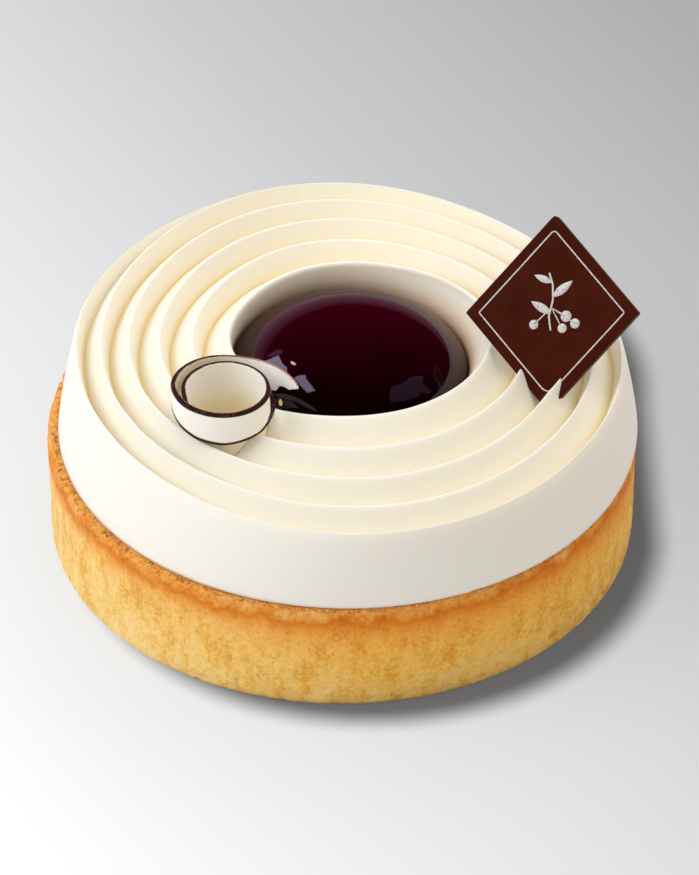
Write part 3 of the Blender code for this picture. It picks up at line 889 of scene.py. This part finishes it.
def reliefLine(path, width, closed):
    # a flat strip that follows a path: left and right of it at half the width, low and high by the relief
    ahead, behind = np.roll(path, -1, axis=0), np.roll(path, 1, axis=0)
    if not closed:
        ahead[-1], behind[0] = path[-1], path[0]
    tangent = ahead - behind
    normal = np.stack([tangent[:, 1], -tangent[:, 0]], axis=-1)
    normal *= width / 2 / np.linalg.norm(normal, axis=1, keepdims=True)
    flat = np.stack([path + normal, path + normal, path - normal, path - normal], axis=1)
    out = np.tile([-sprig["relief"], sprig["relief"], sprig["relief"], -sprig["relief"]], (len(path), 1))
    strip = np.concatenate([flat, out[..., None]], axis=-1)
    if closed:
        return np.concatenate([strip, strip[:1]])
    return closeEnds(strip)


def reliefShape(outline):
    # a flat shape round its own middle: middle, rim and their raised twins, a little narrower on top
    middle = outline.mean(axis=0)
    rings = [(0.0, -1), (1.0, -1), (0.97, 1), (0.0, 1)]
    return np.stack([
        np.concatenate([middle + (outline - middle) * scale,
                        np.full((len(outline), 1), sprig["relief"] * out)], axis=1)
        for scale, out in rings])


def buildPrint():
    # a thin frame and a small sprig of currants, each a low raised shape on the plaque's face
    size = sprig
    middle = np.array(size["middle"])
    grids = [reliefLine(plaqueOutline() * size["frameInset"], size["frameWidth"], True)]
    stem = np.array(size["stem"]) + middle
    place = np.linspace(0, len(stem) - 1, 25)
    stem = np.stack([np.interp(place, np.arange(len(stem)), stem[:, k]) for k in (0, 1)], axis=-1)
    grids.append(reliefLine(stem, size["stemWidth"], False))
    turn = np.linspace(0, math.tau, 28, endpoint=False)
    for foot, heading, length, width in size["leaves"]:
        # a leaf: as wide as the sine of its length, drawn to a point at its tip
        along = (1 - np.cos(turn)) / 2
        across = np.sin(turn) * np.sin(math.pi * along) ** 0.4 * (1 - 0.35 * along)
        a = math.radians(heading)
        way, side = np.array([math.cos(a), math.sin(a)]), np.array([-math.sin(a), math.cos(a)])
        leaf = np.array(foot) + middle + along[:, None] * way * length + across[:, None] * side * width / 2
        grids.append(reliefShape(leaf))
    for place, radius in size["berries"]:
        ring = np.stack([np.cos(turn), np.sin(turn)], axis=-1) * radius
        grids.append(reliefShape(np.array(place) + middle + ring))
        link = np.linspace(0, 1, 9)[:, None]
        start = np.array(size["stalkFoot"]) + middle
        stalk = start + (np.array(place) + middle - start) * link
        grids.append(reliefLine(stalk, size["stalkWidth"], False))
    grids = [onPlaque(grid) for grid in grids]
    surfacePiece("plaquePrint", grids, printMaterial())


def printMaterial():
    # cocoa butter coloured white and printed: thin, matt and a little uneven, so the brown shows through
    material, tree, shader = newMaterial("white cocoa butter print", Roughness=0.5, IOR=1.46)
    place = addNode(tree, "TexCoord", out="Object")
    thin = addNoise(tree, place, 2600.0)
    tone = addNode(tree, "ValToRGB", {"Fac": thin}, stops=(
        (0.25, "#A79A96"), (0.45, "#D9D4D4"), (0.8, "#E9E6E6")))
    plug(shader, Base_Color=tone)
    return material


view = {
    "elevation": math.radians(38.8),
    "distance": 0.750,
    "aim": (0.001286, -0.00124, 0.01721),
    "focalPixels": 4431,
    "imageHeight": 875,
    "sensor": 36.0,
    "clip": (0.01, 20.0),
}

studio = {
    "ambient": "#FFF7EB",
    "ambientStrength": 0.57,
    # what the glaze mirrors: a wall behind, below the plane z = 0.477 - 0.252 x - 0.044 y
    "wallPlane": (0.252, 0.044, 1.0),
    "wallTop": 0.477,
    "wallEdge": 0.012,                  # half the height over which the wall's top blurs
    "wallFade": 0.30,                   # height over which its colour changes
    "wallFront": (-0.1, 0.3),           # it shows from the first to the second of these on the way back
    "wallColour": "#8E3F66",            # at its top, and lower down
    "wallLow": "#DDB4CC",
    "roomColour": "#0C090B",
    "lightDistance": 0.9,
    # name, azimuth from +X, elevation, target, watts and colour of each soft box
    "boxes": (
        ("key", 190, 40, (0.0, 0.0, 0.03), 4.05, "#ECF4FF"),
        ("back", 75, 40, (0.0, 0.0, 0.03), 2.3, "#F7FBFF"),
        ("right", 20, 40, (0.0, 0.0, 0.03), 1.5, "#FFF0DC"),
        ("top", 0, 88, (0.0, 0.0, 0.03), 0.6, "#F8FBFF"),
    ),
    "boxShape": {"shape": "SQUARE", "size": 0.6},
    # and of the snoot, a narrow spot on the far wall of the well
    "snoot": ("snoot", 262, 40, (0.0030, 0.0150, 0.0310), 8.0, "#FFEEDC"),
    "snootShape": {"spot_size": math.radians(1.7), "spot_blend": 0.8, "shadow_soft_size": 0.02},
    # name, colour, strength and corners (azimuth, elevation) of each bright pane seen only in the gloss
    "panes": (
        ("paneLeft", "#D6C6EA", 5.5, ((135, 34), (125, 39), (116, 41), (118, 44), (120, 47), (119, 49),
                                     (128, 53), (142, 43))),
        ("paneLow", "#B8749A", 1.6, ((126, 35), (120, 37), (113, 38), (109, 40), (113, 41), (122, 39))),
        ("paneMiddle", "#D6C6EA", 5.0, ((128, 57), (119, 56), (112, 56), (117, 59), (138, 70), (156, 68),
                                       (151, 67), (142, 64))),
        ("paneRight", "#B49CCB", 0.60, ((46, 66), (45, 64), (41, 61), (47, 55), (46, 52), (35, 46),
                                       (31, 48), (24, 47), (12, 36), (7, 38), (11, 47), (4, 46), (-6, 54),
                                       (-14, 64), (12, 69))),
        ("lamp", "#FFE6EC", 14.0, ((110, 46.3), (108.4, 46.6), (107.8, 47.6), (108.8, 48.6), (110.6, 48.8),
                                   (111.4, 47.6))),
    ),
    "paneDistance": 1.5,
    "paneCentre": 0.037,                # height of the ball's middle, over the dome's
}

table = {
    "reach": 3.0,
    "level": -0.0001,
    # the painted light's tone falls along the slope vector, per metre, in these stops of the range
    "slope": (2.4, 1.47, 0.0),
    "slopeRange": (-0.29, 0.60),
    "tones": ((0.0, "#FFFFFF"), (0.326, "#DCDCDC"), (0.494, "#C6C6C6"), (0.757, "#AAAAAA"),
              (1.0, "#9C9C9C")),
    "glow": 0.78,                       # share of its brightness that is its own painted glow
    "reflectance": "#8A8D92",           # of the acrylic itself
    # the soft shadow: from one disc to another, middle x, middle y and radius
    "shadowFrom": (0.0048, -0.0040, 0.0497),
    "shadowTo": (0.0080, 0.0350, 0.0460),
    "shadowSoftness": 0.0034,
    "shadowDepth": 0.20,                # how much of the light stays in the shadow
}


def direction(azimuth, elevation):
    # a unit vector from its compass angle and its height, in degrees
    a, e = math.radians(azimuth), math.radians(elevation)
    return Vector((math.cos(a) * math.cos(e), math.sin(a) * math.cos(e), math.sin(e)))


def hangLight(kind, settings, name, azimuth, elevation, target, watts, colour):
    # a light on a ball round its target, facing it, which the glaze doesn't mirror
    data = bpy.data.lights.new(name, kind)
    data.energy = watts
    data.color = linearColour(colour)[:3]
    for key, value in settings.items():
        setattr(data, key, value)
    light = bpy.data.objects.new(name, data)
    way = direction(azimuth, elevation)
    light.location = Vector(target) + way * studio["lightDistance"]
    light.rotation_euler = way.to_track_quat("Z", "Y").to_euler()
    light.visible_glossy = False
    light.visible_camera = False
    bpy.context.scene.collection.objects.link(light)


def buildPane(name, colour, strength, corners):
    # a flat bright shape on a ball round the dome, which only mirrored rays see
    material, tree, shader = newMaterial(name)
    glow = addNode(tree, "Emission", {"Color": colour, "Strength": strength})
    tree.links.new(glow, tree.nodes["Material Output"].inputs["Surface"])
    tree.nodes.remove(shader)
    middle = Vector((dome["centre"][0], dome["centre"][1], studio["paneCentre"]))
    points = [middle + direction(*corner) * studio["paneDistance"] for corner in corners]
    mesh = bpy.data.meshes.new(name)
    mesh.from_pydata(points, [], [tuple(range(len(points)))])
    mesh.materials.append(material)
    pane = bpy.data.objects.new(name, mesh)
    for ray in ("camera", "diffuse", "transmission", "volume_scatter", "shadow"):
        setattr(pane, "visible_" + ray, False)
    bpy.context.scene.collection.objects.link(pane)


def buildTable():
    # a pale sheet of acrylic that glows with painted light, its tone sloping from front left to back right,
    # and darker
    # in a painted shadow within a capsule: the distance to the line between two discs, less their radius
    size = table
    reach, level = size["reach"], size["level"]
    mesh = bpy.data.meshes.new("table")
    corners = ((-1, -1), (1, -1), (1, 1), (-1, 1))
    mesh.from_pydata([(x * reach, y * reach, level) for x, y in corners], [], [(0, 1, 2, 3)])
    material, tree, shader = newMaterial("glowing table with painted shadow", Roughness=0.9, Specular_IOR_Level=0.0,
                                         Emission_Strength=size["glow"])
    place = addNode(tree, "TexCoord", out="Object")
    slope = addNode(tree, "VectorMath", {0: place, 1: size["slope"]}, operation="DOT_PRODUCT", out="Value")
    low, high = size["slopeRange"]
    share = addRange(tree, slope, low, high)
    tone = addNode(tree, "ValToRGB", {"Fac": share}, stops=size["tones"])
    start, stop = Vector(size["shadowFrom"]), Vector(size["shadowTo"])
    line = Vector((stop.x - start.x, stop.y - start.y, 0.0))
    offset = addNode(tree, "VectorMath", {0: place, 1: (start.x, start.y, level)}, operation="SUBTRACT")
    along = addNode(tree, "VectorMath", {0: offset, 1: line / line.length_squared},
                    operation="DOT_PRODUCT", out="Value")
    along = addNode(tree, "Clamp", {"Value": along})
    nearest = addNode(tree, "VectorMath", {0: tuple(line), "Scale": along}, operation="SCALE")
    away = addNode(tree, "VectorMath", {0: offset, 1: nearest}, operation="DISTANCE", out="Value")
    radius = addMath(tree, "MULTIPLY_ADD", along, stop.z - start.z, start.z)
    beyond = addMath(tree, "SUBTRACT", away, radius)
    soft = size["shadowSoftness"]
    lit = addNode(tree, "MapRange", {0: beyond, 1: -soft, 2: soft, 3: size["shadowDepth"], 4: 1.0},
                  interpolation_type="SMOOTHSTEP")
    grey = addNode(tree, "CombineXYZ", {0: lit, 1: lit, 2: lit})
    tone = addMix(tree, 1.0, tone, grey, "MULTIPLY")
    matt = addMix(tree, 1.0, tone, size["reflectance"], "MULTIPLY")
    plug(shader, Emission_Color=tone, Base_Color=matt)
    mesh.materials.append(material)
    top = bpy.data.objects.new("table", mesh)
    bpy.context.scene.collection.objects.link(top)
    print("table", 2 * reach, "metres wide")


def buildLight():
    # an even pale room for matt surfaces; mirrored rays see a dark room with a wall behind, which is where
    # height plus a share of the way right and back stays under the wall's top
    world = bpy.data.worlds.new("studio")
    bpy.context.scene.world = world
    world.use_nodes = True
    tree = world.node_tree
    top, (front, behind) = studio["wallTop"], studio["wallFront"]
    ray = addNode(tree, "TexCoord", out="Generated")
    level = addNode(tree, "VectorMath", {0: ray, 1: studio["wallPlane"]}, operation="DOT_PRODUCT",
                    out="Value")
    under = addRange(tree, level, top - studio["wallEdge"], top + studio["wallEdge"], 1.0, 0.0)
    back = addNode(tree, "SeparateXYZ", {"Vector": ray}, out="Y")
    back = addRange(tree, back, front, behind)
    seen = addMath(tree, "MULTIPLY", under, back)
    fade = addRange(tree, level, top - studio["wallFade"], top)
    wall = addMix(tree, fade, studio["wallLow"], studio["wallColour"])
    mirrored = addMix(tree, seen, studio["roomColour"], wall)
    path = addNode(tree, "LightPath", out="Is Glossy Ray")
    ambient = [channel * studio["ambientStrength"] for channel in linearColour(studio["ambient"])]
    tone = addMix(tree, path, ambient, mirrored)
    plug(tree.nodes["Background"], Color=tone)
    for box in studio["boxes"]:
        hangLight("AREA", studio["boxShape"], *box)
    hangLight("SPOT", studio["snootShape"], *studio["snoot"])
    for pane in studio["panes"]:
        buildPane(*pane)
    print("light from", len(studio["boxes"]), "soft boxes and a snoot, and", len(studio["panes"]), "panes")


def buildCamera():
    # a long lens at the photograph's angle, its length from the focal length in pixels
    data = bpy.data.cameras.new("camera")
    data.sensor_fit = "VERTICAL"
    data.sensor_height = view["sensor"]
    data.lens = view["focalPixels"] * view["sensor"] / view["imageHeight"]
    data.clip_start, data.clip_end = view["clip"]
    camera = bpy.data.objects.new("camera", data)
    tilt = view["elevation"]
    back = Vector((0.0, -math.cos(tilt), math.sin(tilt)))
    camera.location = Vector(view["aim"]) + back * view["distance"]
    camera.rotation_euler = (math.pi / 2 - tilt, 0.0, 0.0)
    bpy.context.scene.collection.objects.link(camera)
    bpy.context.scene.camera = camera
    print("camera with a lens of", round(data.lens), "mm")


bpy.context.scene.view_settings.view_transform = "Standard"
buildCamera()
buildLight()
buildTable()
buildShell()
buildCrumbs()
buildCream()
buildDome()
buildCurl()
buildPlaque()
buildPrint()
